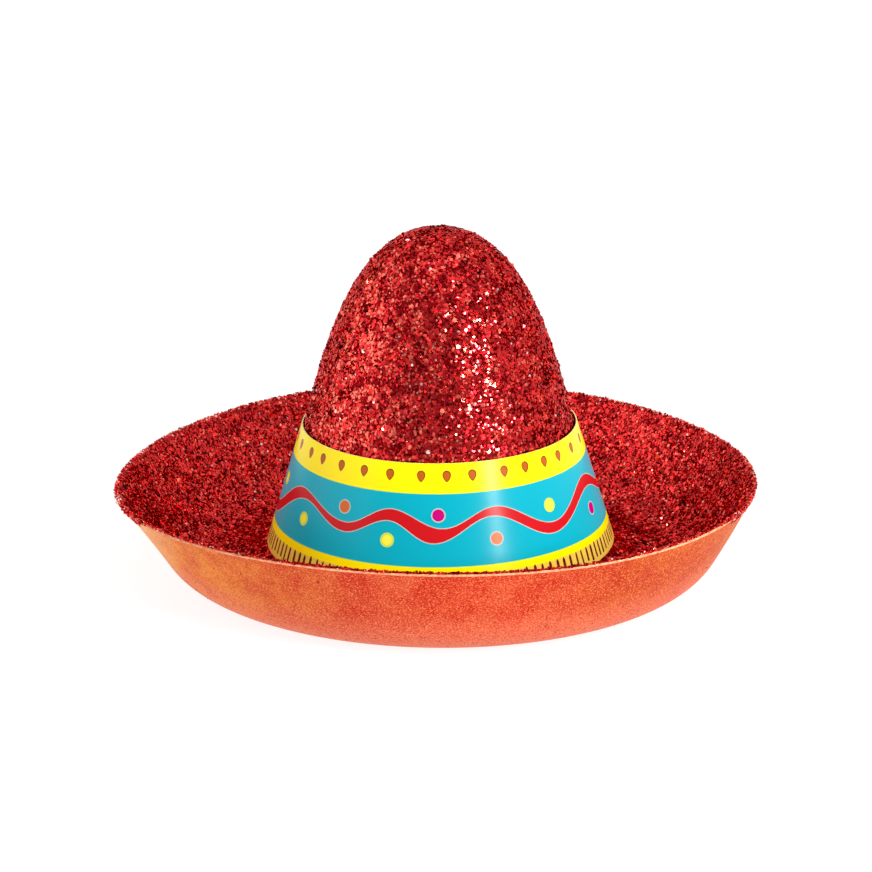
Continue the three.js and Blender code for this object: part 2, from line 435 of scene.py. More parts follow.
def make_shell():
    r, z, slope, _ = hat_section(SHELL_STEP)
    upper_r, upper_z = offset(r, z, slope, SHELL_THICKNESS)
    upper_r[0] = 0
    section_r = np.concatenate([upper_r, r[::-1]])
    section_z = np.concatenate([upper_z, z[::-1]])
    points, faces = turned(section_r, section_z, SHELL_SIDES)
    piece = make_piece("shell", points, faces, [shell_look(), cut_edge_look()])
    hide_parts("hat_shell")
    cut_edge = range(SHELL_SIDES * (len(r) - 1), SHELL_SIDES * len(r))
    for k in cut_edge:
        piece.data.polygons[k].material_index = 1
        piece.data.polygons[k].use_smooth = False
    drill_cord_holes(piece, 1)


# ------------------------------------------------------------------ glue under the glitter
BED_HEIGHT = 0.8  # of the glue's surface above the sheet's underside
BED_RIM_HEIGHT = 0.72
BED_INSET = 0.25  # of the glue's edge from the outermost flakes
THINNING = 2.5  # how far from the rim the glitter thins out towards it
BED_STEP = 0.8  # along the section
CROWN_BED_SIDES = 240  # round the hat
BRIM_BED_SIDES = 480
LUMP_DEPTH = 0.2
LUMP_SIZE = 0.6


def coat_height(r, full, at_rim):
    return np.interp(r, [RIM_RADIUS - THINNING, RIM_RADIUS], [full, at_rim])


def lumpy(seed):
    """A function that pushes a ring of points in and out, as the grains under the glue do."""
    shift = Vector((seed, 0, 0))

    def lumps(ring_r, ring_z, angles):
        centre = placed(ring_r, ring_z, angles)
        push = [noise.noise(Vector(p) / (LUMP_SIZE * MM) + shift) for p in centre]
        push = np.array(push) * LUMP_DEPTH
        return ring_r + push * 0.5, ring_z + push * 0.5

    return lumps


def make_crown_bed():
    r, z, slope, crown_end = hat_section(BED_STEP)
    r, z, slope = r[: crown_end - 1], z[: crown_end - 1], slope[: crown_end - 1]
    inner_r, inner_z = offset(r, z, slope, COAT_INNER)
    outer_r, outer_z = offset(r, z, slope, BED_HEIGHT)
    inner_r[0] = outer_r[0] = 0
    points, faces = turned(
        np.concatenate([outer_r, inner_r[::-1]]),
        np.concatenate([outer_z, inner_z[::-1]]),
        CROWN_BED_SIDES,
        lumpy(3),
    )
    look = bed_look("crown_glitter_bed", (0.10, 0.003, 0.005), (0.30, 0.009, 0.012), (0.52, 0.02, 0.02))
    piece = make_piece("crown_glitter_bed", points, faces, [look])
    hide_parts("crown_glitter_coat")


def make_brim_bed():
    r, z, slope, crown_end = hat_section(BED_STEP)
    r, z, slope = r[crown_end:], z[crown_end:], slope[crown_end:]
    edge_r, edge_z = offset(r[-1], z[-1], slope[-1], 0, COAT_OVERHANG - BED_INSET)
    r, z, slope = np.append(r, edge_r), np.append(z, edge_z), np.append(slope, slope[-1])
    inner_r, inner_z = offset(r, z, slope, COAT_INNER)
    outer_r, outer_z = offset(r, z, slope, coat_height(r, BED_HEIGHT, BED_RIM_HEIGHT))
    points, faces = turned(
        np.concatenate([outer_r, inner_r[::-1]]),
        np.concatenate([outer_z, inner_z[::-1]]),
        BRIM_BED_SIDES,
        lumpy(7),
    )
    look = bed_look("brim_glitter_bed", (0.16, 0.004, 0.006), (0.36, 0.010, 0.014), (0.58, 0.02, 0.02))
    piece = make_piece("brim_glitter_bed", points, faces, [look])
    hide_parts("brim_glitter_coat")
    drill_cord_holes(piece)


# ------------------------------------------------------------------ glitter flakes
FLAKE_ROOT = 0.1  # how far a flake's back reaches into the glue
FLAKE_HEIGHT = COAT_OUTER + 0.08  # of the flakes' middles above the sheet's underside
RIM_FLAKE_HEIGHT = 0.78
HEIGHT_SCATTER = 0.06
LEAN = 0.14  # radians, the usual tilt of a flake
STEEP_LEAN = (0.35, 1.3)  # radians, for the few that stand up
SIZE_RANGE = (0.8, 1.15)
BIG_SHARE = 0.12  # of the flakes, which are larger than the rest
BIG_SIZE = 1.6
HOLE_MARGIN = 0.25  # kept clear round the cord holes
MOST_FLAKES = 19000  # in one mesh
PATCH_SIZE = 2.5
PATCH_TINTS = (3.5, 1.5, 0, -1, -1, 0)  # how strongly each tint gathers in the dark patches

PLACING_STEP = 0.3  # along the section
CROWN_SPACING = 0.4
CROWN_FLAKES_END = 22  # height behind the band, below which there are none
BRIM_SPACING = 0.39
BRIM_FLAKES_START = 37  # radius behind the band
RIM_SPACING = 0.07
RIM_FLAKE_LIFT = (0.55, 0.85)  # above the sheet's underside
RIM_FLAKE_PAST = (-0.2, COAT_OVERHANG - 0.1)  # past the cut edge
SIDE_DROP = 0.6  # how much lower they reach at the hat's two sides
SIDE_SHIFT = 0.3  # how much further out they start there
LIP_FLAKES = 8000  # tried, of which those at the two sides stay
LIP_REACH = 1.3  # from the cut edge, under the lip
STRAY_FLAKES = 90
STRAY_REACH = (24, 2)  # from the cut edge, down the outside of the wall

# Colour, roughness and clear varnish.
FLAKE_TINTS = {
    "garnet": ((0.20, 0.003, 0.005), 0.18, 0.0),
    "crimson": ((0.48, 0.007, 0.010), 0.12, 0.3),
    "ruby": ((0.70, 0.010, 0.013), 0.09, 0.4),
    "scarlet": ((0.88, 0.028, 0.022), 0.09, 0.4),
    "rose": ((0.92, 0.15, 0.10), 0.22, 0.4),
    "glint": ((0.96, 0.62, 0.56), 0.08, 1.0),
}


def flake_looks():
    return [
        plain_look(
            f"flake_{name}",
            colour,
            Metallic=1.0,
            Roughness=rough,
            Specular_Tint=FLAKE_EDGE_TINT,
            Coat_Weight=varnish,
            Coat_Roughness=0.03,
        )
        for name, (colour, rough, varnish) in FLAKE_TINTS.items()
    ]


def flakes(name, places, lift, size, steep_share, weights, looks, random):
    """Hexagonal flakes at places (r, z, slope, angle), each lifted off the sheet's underside."""
    r, z, slope, angle = places
    count = len(r)
    at_r, at_z = offset(r, z, slope, lift + random.normal(0, HEIGHT_SCATTER, count))
    centre = placed(at_r, at_z, angle)

    radial = np.stack([np.sin(angle), -np.cos(angle), np.zeros(count)], -1)
    round_hat = np.stack([np.cos(angle), np.sin(angle), np.zeros(count)], -1)
    up = np.array([0.0, 0.0, 1.0])
    normal = -np.sin(slope)[:, None] * radial + np.cos(slope)[:, None] * up

    tilt = random.rayleigh(LEAN, count)
    steep = random.uniform(size=count) < steep_share
    tilt[steep] = random.uniform(*STEEP_LEAN, steep.sum())
    turn = random.uniform(0, 2 * math.pi, count)
    along = np.cross(round_hat, normal)
    lean = np.cos(turn)[:, None] * round_hat + np.sin(turn)[:, None] * along
    face = np.cos(tilt)[:, None] * normal + np.sin(tilt)[:, None] * lean
    first = np.cross(face, round_hat + 0.01)  # nudged, so the two are never in line
    first /= np.linalg.norm(first, axis=1)[:, None]
    second = np.cross(face, first)

    reach = size * FLAKE_ACROSS / math.sqrt(3) * random.uniform(*SIZE_RANGE, count) * MM
    reach[random.uniform(size=count) < BIG_SHARE] *= BIG_SIZE
    spin = random.uniform(0, math.pi / 3, count)
    corners = np.empty((count, 7, 3))
    for k in range(6):
        a = spin + k * math.pi / 3
        arm = np.cos(a)[:, None] * first + np.sin(a)[:, None] * second
        corners[:, k] = centre + reach[:, None] * arm
    corners[:, 6] = centre - FLAKE_ROOT * MM * face
    patch = np.array([noise.noise(Vector(p) / (PATCH_SIZE * MM)) for p in centre])
    tints = pick_tints(weights(angle, at_z) * np.exp(np.outer(patch, PATCH_TINTS)), random)
    clear = hole_distance(centre) > (CORD_HOLE_RADIUS + HOLE_MARGIN) * MM
    return flake_mesh(name, corners[clear], tints[clear], looks)


def lengths(r, z):
    """The way along a section from its start to each of its points."""
    return np.concatenate([[0], np.cumsum(np.hypot(np.diff(r), np.diff(z)))])


def scattered(r, z, slope, spacing, random):
    """Places about evenly spread over a stretch of the section turned round the axis."""
    length = lengths(r, z)
    rows, angles = [], []
    for row in np.arange(spacing / 2, length[-1], spacing):
        count = max(1, round(2 * math.pi * np.interp(row, length, r) / spacing))
        rows.append(row + random.uniform(-0.5, 0.5, count) * spacing)
        angles.append((np.arange(count) + random.uniform(0, 1, count)) * 2 * math.pi / count)
    row = np.clip(np.concatenate(rows), 0, length[-1])
    at = [np.interp(row, length, values) for values in (r, z, slope)]
    return (*at, np.concatenate(angles))


def pick_tints(weights, random):
    shares = np.cumsum(weights, axis=1)
    shares /= shares[:, -1:]
    return (random.uniform(size=(len(shares), 1)) > shares).sum(axis=1)


def flake_mesh(name, corners, tints, looks):
    """Each flake is a closed chip: a hexagon in front and six triangles to a point behind it."""
    count = len(corners)
    mesh = bpy.data.meshes.new(name)
    mesh.vertices.add(count * 7)
    mesh.vertices.foreach_set("co", corners.reshape(-1))
    pattern = list(range(6))
    for k in range(6):
        pattern += [k, 6, (k + 1) % 6]
    starts = np.array([0] + [6 + 3 * k for k in range(6)])
    loops = (np.arange(count) * 7)[:, None] + np.array(pattern)
    mesh.loops.add(loops.size)
    mesh.loops.foreach_set("vertex_index", loops.reshape(-1).astype(np.int32))
    mesh.polygons.add(count * 7)
    loop_starts = (np.arange(count) * len(pattern))[:, None] + starts
    mesh.polygons.foreach_set("loop_start", loop_starts.reshape(-1).astype(np.int32))
    mesh.polygons.foreach_set("material_index", np.repeat(tints, 7).astype(np.int32))
    mesh.polygons.foreach_set("use_smooth", np.zeros(count * 7, bool))
    for look in looks:
        mesh.materials.append(look)
    mesh.update(calc_edges=True)
    mesh.validate()
    piece = bpy.data.objects.new(name, mesh)
    bpy.context.scene.collection.objects.link(piece)
    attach(piece, "root")
    return piece


# Painted shade: the crown's flakes darken towards its top.
PAINTED_SHADE_START = 45  # the height over which the crown's flakes begin to darken
PAINTED_SHADE_SPAN = 30

# Shares of the six tints, from garnet to glint.
BRIM_SHARES = (0.09, 0.26, 0.36, 0.22, 0.07, 0.004)
RIM_FRONT_SHARES = (0.30, 0.30, 0.20, 0.10, 0.08, 0.01)
# Painted light: many pale flakes at the hat's two sides.
RIM_SIDE_PAINTED_LIGHT_SHARES = (0.04, 0.08, 0.14, 0.18, 0.42, 0.14)


def crown_painted_light_weights(angle, z):
    """More rose on the hat's left and more scarlet on its right as painted light, and more garnet high
    up as painted shade.
    """
    side = np.sin(angle)
    ones = np.ones_like(side)
    left, right = np.clip(-side, 0, 1), np.clip(side, 0, 1)
    high = np.clip((z - PAINTED_SHADE_START) / PAINTED_SHADE_SPAN, 0, 1)
    return np.stack(
        [
            0.18 + 0.12 * high,
            0.32 * ones,
            0.30 * ones,
            0.12 + 0.14 * right,
            0.08 + 0.40 * left * (1 - 0.5 * high),
            0.004 * ones,
        ],
        axis=1,
    )


def brim_weights(angle, z):
    return np.tile(BRIM_SHARES, (len(angle), 1))


def near_sides(angle, start, over):
    """1 at the hat's left and right, fading to 0 where the angle's sine falls to a start value."""
    return np.clip((np.abs(np.sin(angle)) - start) / over, 0, 1)


def rim_painted_light_weights(angle, z):
    """Dark flakes at the front, and many pale ones towards the hat's two sides as painted light."""
    side = near_sides(angle, start=0.35, over=0.4)[:, None]
    return np.array(RIM_FRONT_SHARES) * (1 - side) + np.array(RIM_SIDE_PAINTED_LIGHT_SHARES) * side


def flake_pieces(name, places, lift, size, steep_share, weights, looks, random):
    """Flakes over a stretch that runs outwards, in as many numbered meshes as they need."""
    count = len(places[0])
    parts = math.ceil(count / MOST_FLAKES)
    lift = np.broadcast_to(lift, count)
    for k, chosen in enumerate(np.array_split(np.arange(count), parts)):
        label = f"{name}_{k + 1}" if parts > 1 else name
        part = [values[chosen] for values in places]
        piece = flakes(label, part, lift[chosen], size, steep_share, weights, looks, random)


def make_glitter():
    looks = flake_looks()
    random = np.random.default_rng(SEED)
    r, z, slope, crown_end = hat_section(PLACING_STEP)
    way = lengths(r, z)

    def underneath(row):
        """The outside of the sheet's underside, at lengths along the section."""
        at_r, at_z, at_slope = [np.interp(row, way, values) for values in (r, z, slope)]
        return at_r, at_z, at_slope + math.pi

    end = np.searchsorted(-z[:crown_end], -CROWN_FLAKES_END)
    places = scattered(r[:end], z[:end], slope[:end], CROWN_SPACING, random)
    flake_pieces(
        "crown_flakes",
        places,
        lift=FLAKE_HEIGHT,
        size=1.05,
        steep_share=0.16,
        weights=crown_painted_light_weights,
        looks=looks,
        random=random,
    )

    start = crown_end + np.searchsorted(r[crown_end:], BRIM_FLAKES_START)
    places = scattered(r[start:], z[start:], slope[start:], BRIM_SPACING, random)
    flake_pieces(
        "brim_flakes",
        places,
        lift=coat_height(places[0], FLAKE_HEIGHT, RIM_FLAKE_HEIGHT),
        size=0.98,
        steep_share=0.2,
        weights=brim_weights,
        looks=looks,
        random=random,
    )

    # Flakes past the cut edge. They come down over it at the hat's two sides.
    count = round(2 * math.pi * RIM_RADIUS / RIM_SPACING)
    angle = random.uniform(0, 2 * math.pi, count)
    at_side = near_sides(angle, start=0.86, over=0.04) * (np.cos(angle) > -0.4)
    lift = random.uniform(RIM_FLAKE_LIFT[0] - SIDE_DROP * at_side, RIM_FLAKE_LIFT[1])
    past_edge = random.uniform(SIDE_SHIFT * at_side + RIM_FLAKE_PAST[0], RIM_FLAKE_PAST[1])
    at_r, at_z = offset(r[-1], z[-1], slope[-1], 0.0, past_edge)
    flake_pieces(
        "rim_flakes",
        (at_r, at_z, np.full(count, slope[-1]), angle),
        lift=lift,
        size=0.9,
        steep_share=0.5,
        weights=rim_painted_light_weights,
        looks=looks,
        random=random,
    )

    # Flakes caught under the lip at the two sides.
    angle = random.uniform(0, 2 * math.pi, LIP_FLAKES)
    spread = near_sides(angle, start=0.89, over=0.05)
    back = random.uniform(0, LIP_REACH, LIP_FLAKES)
    kept = random.uniform(size=LIP_FLAKES) < spread
    flake_pieces(
        "lip_flakes",
        (*underneath(way[-1] - back[kept]), angle[kept]),
        lift=0.12,
        size=0.9,
        steep_share=0.3,
        weights=rim_painted_light_weights,
        looks=looks,
        random=random,
    )

    # A few that came loose and stuck low on the outside of the wall.
    far, near = STRAY_REACH
    row = random.uniform(way[-1] - far, way[-1] - near, STRAY_FLAKES)
    flake_pieces(
        "stray_flakes",
        (*underneath(row), random.uniform(0, 2 * math.pi, STRAY_FLAKES)),
        lift=0.05,
        size=0.75,
        steep_share=0.0,
        weights=brim_weights,
        looks=looks,
        random=random,
    )


# ------------------------------------------------------------------ printed band
CARD_THICKNESS = 0.25
BAND_TOP_RADIUS = 30.06
BAND_BOTTOM_RADIUS = 38.19
BAND_BOTTOM = 6.7
BAND_TOP = 33.5
BAND_OFFSET = 0.2  # of the band's axis from the crown's, towards +X
BAND_TILT = math.radians(0.6)
LAP_ANGLE = 15  # degrees of card over card
LAP_RAMP = 40  # degrees over which the outer end climbs
LAP_CLIMB = 0.7  # of the card's outer end, up onto the inner one

SLANT = math.hypot(BAND_TOP - BAND_BOTTOM, BAND_BOTTOM_RADIUS - BAND_TOP_RADIUS)
PRINT_RADIUS = 34.0  # the sheet's width is drawn at this radius, in millimetres
BAND_END = 180 + LAP_ANGLE / 2

TOP_STRIP = 0.228  # shares of the slant, from the top
BOTTOM_STRIP = 0.786
STRIP_LINE = 0.09

# The wave's two edges, as the crests and troughs that each passes: degrees and share of the slant.
UPPER_TURNS = (
    (-90, 0.645),
    (-62, 0.370),
    (-36.5, 0.512),
    (-18.2, 0.358),
    (1, 0.495),
    (20.5, 0.352),
    (45, 0.562),
    (70, 0.342),
)
LOWER_TURNS = (
    (-90, 0.735),
    (-58, 0.440),
    (-36.5, 0.580),
    (-19, 0.444),
    (-2.5, 0.603),
    (19, 0.418),
    (44, 0.641),
    (71, 0.435),
)
BACK_TURNS = 6  # beyond each end of the front's turns
BACK_TURN_STEP = 22.5
BACK_CREST = 0.36
BACK_TROUGH = 0.51
BACK_WIDTH = 0.085
WAVE_EDGE = 0.17
WAVE_POINTS = 421

DOT_RADIUS = 1.3
DOT_RING = 0.24
DOT_SIDES = 28
LEMON_CORE = 0.8  # of a yellow dot, inside its wider ring
HIGH_DOT = 0.39  # shares of the slant, for the dots round the back
LOW_DOT = 0.6

# Degrees of the front's drops, which stand at uneven steps.
LEFT_DROPS = (-75.8, -63.7, -54.2, -42.7, -31.3, -19.9, -7.3)
RIGHT_DROPS = (2.8, 13.0, 26.4, 36.1, 46.4, 55.6, 67.1, 80.3)
BACK_DROPS = 9  # beyond each end of the front's drops
DROP_STEP = 10.7
DROP_MIDDLE = 0.098
DROP_OUTLINE = (1.8, 2.5)  # width and height
DROP_CORE = (1.45, 2.1)

DASH_STEP = 3.0  # degrees
DASH_TOP = 0.845
DASH_BOTTOM = 0.965
DASH_NECK = 0.15  # half the dash's width at its top
DASH_SHOULDER = 0.6  # how far down it gets its full width
DASH_HALF = (0.27, 0.4)  # half its full width

SHEET_LINES = 151  # up the sheet, so that it bends evenly
MERGE_DISTANCE = 1e-5  # of printed corners that meet

INKS = {
    "ink_yellow": (1.0, 0.82, 0.0),
    "ink_lemon": (0.88, 0.86, 0.06),
    "ink_turquoise": (0.0, 0.39, 0.50),
    "ink_red": (0.55, 0.006, 0.010),
    "ink_pale": (0.50, 0.52, 0.46),
    "ink_lime": (0.60, 0.74, 0.06),
    "ink_brown": (0.46, 0.10, 0.008),
    "ink_dark": (0.12, 0.014, 0.003),
    "ink_magenta": (0.52, 0.0, 0.17),
    "ink_orange": (0.60, 0.13, 0.02),
    "ink_tan": (0.80, 0.57, 0.08),
    "card_edge": (0.80, 0.74, 0.22),
}
YELLOW, LEMON, TURQUOISE, RED, PALE, LIME = range(6)
BROWN, DARK, MAGENTA, ORANGE, TAN, CARD = range(6, len(INKS))

# Dots from left to right across the front: degrees, share of the slant and ink.
FRONT_DOTS = (
    (-82.5, 0.42, LEMON),
    (-57.5, 0.591, LEMON),
    (-37.6, 0.395, ORANGE),
    (-18.9, 0.594, LEMON),
    (-0.6, 0.391, MAGENTA),
    (20.1, 0.593, ORANGE),
    (44.2, 0.428, LEMON),
    (69.5, 0.606, MAGENTA),
)
BACK_DOTS = (ORANGE, LEMON, MAGENTA, LEMON, ORANGE)  # onwards from either end, to the lap


def radius_at(share):
    return BAND_TOP_RADIUS + share * (BAND_BOTTOM_RADIUS - BAND_TOP_RADIUS)


def flat(degrees, share):
    """A place on the flat printed sheet, in millimetres."""
    return np.stack([np.radians(degrees) * PRINT_RADIUS, share * SLANT], axis=-1)


def outline(degrees, share, shape):
    """A closed outline round a place on the sheet, from true millimetres on the card."""
    stretch = np.array([PRINT_RADIUS / radius_at(share), 1.0])
    return flat(degrees, share) + np.asarray(shape) * stretch


def circle(radius):
    a = np.linspace(0, 2 * math.pi, DOT_SIDES, endpoint=False)
    return np.stack([radius * np.cos(a), radius * np.sin(a)], -1)


def drop(width, height):
    """Round above and pointed below: half a circle and two sides drawn in to a point."""
    half = width / 2
    a = np.linspace(math.pi, 2 * math.pi, 13)
    cap = np.stack([half * np.cos(a), half * np.sin(a)], -1)
    t = np.linspace(0, 1, 7)[1:-1]
    side = half * np.cos(t * math.pi / 2) ** 0.8
    fall = t * (height - half)
    right = np.stack([side, fall], -1)
    left = np.stack([-side, fall], -1)[::-1]
    shape = np.concatenate([cap, right, [(0, height - half)], left])
    return shape - np.array([0, height / 2 - half])


def all_turns(front, width):
    """The front's crests and troughs, from a trough at its left end to a crest at its right one,
    carried on evenly round the back to both ends."""
    turns = list(front)
    for k in range(1, BACK_TURNS + 1):
        next_shares = (BACK_CREST, BACK_TROUGH) if k % 2 else (BACK_TROUGH, BACK_CREST)
        for side, start, share in zip((-1, 1), (front[0][0], front[-1][0]), next_shares):
            turns.append((start + side * k * BACK_TURN_STEP, share + width))
    return np.array(sorted(turns))


def wave_edge(front, width, shift):
    """One long edge of the wave, moved sideways by a shift in millimetres."""
    turns = all_turns(front, width)
    degrees = np.linspace(-BAND_END, BAND_END, WAVE_POINTS)
    k = np.clip(np.searchsorted(turns[:, 0], degrees) - 1, 0, len(turns) - 2)
    t = (degrees - turns[k, 0]) / (turns[k + 1, 0] - turns[k, 0])
    ease = (1 - np.cos(np.pi * t)) / 2
    line = flat(degrees, turns[k, 1] + (turns[k + 1, 1] - turns[k, 1]) * ease)
    way = np.gradient(line, axis=0)
    way /= np.linalg.norm(way, axis=1)[:, None]
    moved = line + shift * np.stack([-way[:, 1], way[:, 0]], -1)
    moved[0, 0], moved[-1, 0] = line[0, 0], line[-1, 0]
    return moved


def wave(edge):
    upper = wave_edge(UPPER_TURNS, 0, -edge)
    lower = wave_edge(LOWER_TURNS, BACK_WIDTH, edge)
    return np.concatenate([upper, lower[::-1]])


def all_dots():
    """The dots of the front, carried on round the back in the wave's crests and troughs."""
    dots = list(FRONT_DOTS)
    for k, ink in enumerate(BACK_DOTS):
        degrees = FRONT_DOTS[-1][0] + (k + 1) * BACK_TURN_STEP
        dots.append((degrees, LOW_DOT if k % 2 else HIGH_DOT, ink))
    for k, ink in enumerate(BACK_DOTS[:-1]):
        degrees = UPPER_TURNS[0][0] - (k + 1) * BACK_TURN_STEP
        dots.append((degrees, HIGH_DOT if k % 2 else LOW_DOT, ink))
    return dots


def all_drops():
    drops = [*LEFT_DROPS, *RIGHT_DROPS]
    for k in range(1, BACK_DROPS + 1):
        drops.append(RIGHT_DROPS[-1] + k * DROP_STEP)
        drops.append(LEFT_DROPS[0] - k * DROP_STEP)
    return [degrees for degrees in drops if abs(degrees) < BAND_END - 2]


def print_shapes(random):
    """Every closed printed shape as (outline, ink), the later ones over the earlier ones."""
    shapes = [(wave(WAVE_EDGE), PALE), (wave(0), RED)]
    for degrees, share, ink in all_dots():
        ring = LIME if ink == LEMON else PALE
        radius = DOT_RADIUS * (LEMON_CORE if ink == LEMON else 1)
        shapes.append((outline(degrees, share, circle(DOT_RADIUS + DOT_RING)), ring))
        shapes.append((outline(degrees, share, circle(radius)), ink))

    for degrees in all_drops():
        shapes.append((outline(degrees, DROP_MIDDLE, drop(*DROP_OUTLINE)), DARK))
        shapes.append((outline(degrees, DROP_MIDDLE, drop(*DROP_CORE)), BROWN))

    degrees = 1.5 - BAND_END
    while degrees < BAND_END - 1:
        top = DASH_TOP + random.uniform(-0.006, 0.006)
        length = SLANT * (DASH_BOTTOM + random.uniform(-0.01, 0.01) - top)
        lean = random.uniform(-0.12, 0.12)
        half = random.uniform(*DASH_HALF)
        dash = [
            (-DASH_NECK, 0),
            (DASH_NECK, 0),
            (half, DASH_SHOULDER),
            (lean + half, length),
            (lean - half, length),
            (-half, DASH_SHOULDER),
        ]
        shapes.append((outline(degrees, top, dash), DARK))
        degrees += DASH_STEP + random.uniform(-0.35, 0.35)
    return shapes


def inside(polygon, points):
    """Which points lie within a closed outline."""
    x, y = points[:, 0], points[:, 1]
    hit = np.zeros(len(points), bool)
    before = polygon[-1]
    for corner in polygon:
        crosses = (corner[1] > y) != (before[1] > y)
        span = before[1] - corner[1]
        if span != 0:
            hit ^= crosses & (x < (before[0] - corner[0]) * (y - corner[1]) / span + corner[0])
        before = corner
    return hit


def printed_sheet():
    """The flat sheet cut into triangles along every printed edge: points, triangles and inks."""
    shapes = print_shapes(np.random.default_rng(SEED + 1))
    points, edges = [], []

    def add_line(line, closed):
        start = len(points)
        points.extend(Vector(p) for p in line)
        count = len(line)
        sides = count if closed else count - 1
        edges.extend((start + k, start + (k + 1) % count) for k in range(sides))

    half_width = math.radians(BAND_END) * PRINT_RADIUS
    strips = (TOP_STRIP, BOTTOM_STRIP)
    strip_lines = [strip * SLANT + side * STRIP_LINE for strip in strips for side in (-1, 1)]
    for y in (0, *strip_lines, DASH_TOP * SLANT, SLANT):
        add_line([(-half_width, y), (half_width, y)], False)
    for degrees in np.linspace(-BAND_END, BAND_END, SHEET_LINES):
        x = math.radians(degrees) * PRINT_RADIUS
        add_line([(x, 0), (x, SLANT)], False)
    for shape, _ in shapes:
        add_line(shape, True)
    corners, _, triangles, _, _, _ = delaunay_2d_cdt(points, edges, [], 0, MERGE_DISTANCE)
    corners = np.array(corners)
    triangles = np.array(triangles)[:, ::-1]  # the sheet is drawn downwards, so it faces away
    middles = corners[triangles].mean(axis=1)
    share = middles[:, 1] / SLANT
    inks = np.where((share > TOP_STRIP) & (share < BOTTOM_STRIP), TURQUOISE, YELLOW)
    inks[share > DASH_TOP] = TAN
    for strip in strips:
        inks[np.abs(middles[:, 1] - strip * SLANT) < STRIP_LINE] = LIME
    for shape, ink in shapes:
        low, high = shape.min(axis=0), shape.max(axis=0)
        near = np.flatnonzero(((middles > low) & (middles < high)).all(axis=1))
        inks[near[inside(shape, middles[near])]] = ink
    return corners, triangles, inks


def on_band(sheet, depth):
    """Metres and outward normals on the rolled card, a depth in from its printed face."""
    degrees = np.degrees(sheet[:, 0] / PRINT_RADIUS)
    share = sheet[:, 1] / SLANT
    ramp = np.clip((degrees + BAND_END - (360 - LAP_RAMP)) / LAP_RAMP, 0, 1)
    climb = ramp * ramp * (3 - 2 * ramp) * LAP_CLIMB
    radius = radius_at(share) + climb - depth
    angle = np.radians(degrees)
    height = BAND_TOP - share * (BAND_TOP - BAND_BOTTOM)
    middle = (BAND_TOP + BAND_BOTTOM) / 2
    x, y, z = radius * np.sin(angle), -radius * np.cos(angle), height - middle
    cos, sin = math.cos(BAND_TILT), math.sin(BAND_TILT)
    tilted = np.stack([x * cos - z * sin + BAND_OFFSET + AXIS_X, y, x * sin + z * cos + middle], -1)
    out = (BAND_TOP - BAND_BOTTOM) / SLANT
    rise = (BAND_BOTTOM_RADIUS - BAND_TOP_RADIUS) / SLANT
    normals = np.stack([out * np.sin(angle), -out * np.cos(angle), np.full(len(angle), rise)], -1)
    return tilted * MM, normals


def make_band():
    corners, triangles, inks = printed_sheet()
    outer, normals = on_band(corners, 0)
    inner, _ = on_band(corners, CARD_THICKNESS)
    count = len(corners)
    faces = [tuple(t) for t in triangles]
    indices = list(inks)
    for a, b, c in triangles:
        faces.append((a + count, c + count, b + count))
        indices.append(CARD)
    sides = [edge for a, b, c in triangles for edge in ((a, b), (b, c), (c, a))]
    shared = set(sides)
    for a, b in sides:
        if (b, a) not in shared:
            faces.append((b, a, a + count, b + count))
            indices.append(CARD)
    looks = [
        plain_look(name, colour, Roughness=0.24, Specular_IOR_Level=0.15)
        for name, colour in INKS.items()
    ]
    piece = make_piece("printed_band", np.concatenate([outer, inner]), faces, looks, indices)
    mesh = piece.data
    corner_normals = []
    for face in mesh.polygons:
        for vertex in face.vertices:
            if face.index < len(triangles):
                corner_normals.append(tuple(normals[vertex]))
            elif face.index < 2 * len(triangles):
                corner_normals.append(tuple(-normals[vertex - count]))
            else:
                corner_normals.append(tuple(face.normal))
    mesh.normals_split_custom_set(corner_normals)
    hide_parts("hat_band")


# ------------------------------------------------------------------ glue dabs
def dress_glue_dabs():
    look = Look("hot_melt").set(Roughness=0.35, Subsurface_Weight=0.2)
    colour = look.ramp(look.noise(1.5 * MM), [(0.3, (0.72, 0.66, 0.52)), (0.7, (0.85, 0.80, 0.68))])
    look.link(colour, look.shader.inputs["Base Color"])
    look.bump(look.noise(0.8 * MM), 0.05 * MM)
    for name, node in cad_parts.items():
        if name.startswith("band_glue_dab"):
            node.data.materials.clear()
            node.data.materials.append(look.material)


# ------------------------------------------------------------------ stage
CAMERA_ELEVATION = math.radians(17.8)
CAMERA_DISTANCE = 0.875
CAMERA_LENS = 165.1  # on a 36 mm sensor
ROOM_LIGHT = 0.52
WALL_LIGHT = 0.9
WALL_FADE = 0.6  # room and wall mix between directions with this Y, forwards and backwards
FLOOR_GLOW = 0.86
FLOOR_REACH = 6.0
AIM = Vector((0, 0, 0.030))

# Name, azimuth and elevation in degrees, distance, width and height in metres, and watts.
LAMPS = (
    ("key", 41, 24, 0.9, 0.10, 0.42, 8.0),
    ("left", -80, 20, 1.1, 1.2, 0.9, 3.5),
    ("right", 85, 20, 1.1, 1.2, 0.9, 1.0),
    ("top", 0, 75, 1.1, 1.2, 1.0, 3.3),
)


def direction(azimuth, elevation):
    """From the hat towards a place round it. Azimuth 0 is the camera's side, 90 is +X."""
    a, e = math.radians(azimuth), math.radians(elevation)
    return Vector((math.sin(a) * math.cos(e), -math.cos(a) * math.cos(e), math.sin(e)))


def make_camera():
    data = bpy.data.cameras.new("camera")
    data.lens = CAMERA_LENS
    data.sensor_width = 36
    camera = bpy.data.objects.new("camera", data)
    back = direction(0, math.degrees(CAMERA_ELEVATION))
    camera.location = AIM + back * CAMERA_DISTANCE
    camera.rotation_euler = (-back).to_track_quat("-Z", "Y").to_euler()
    bpy.context.scene.collection.objects.link(camera)
    bpy.context.scene.camera = camera


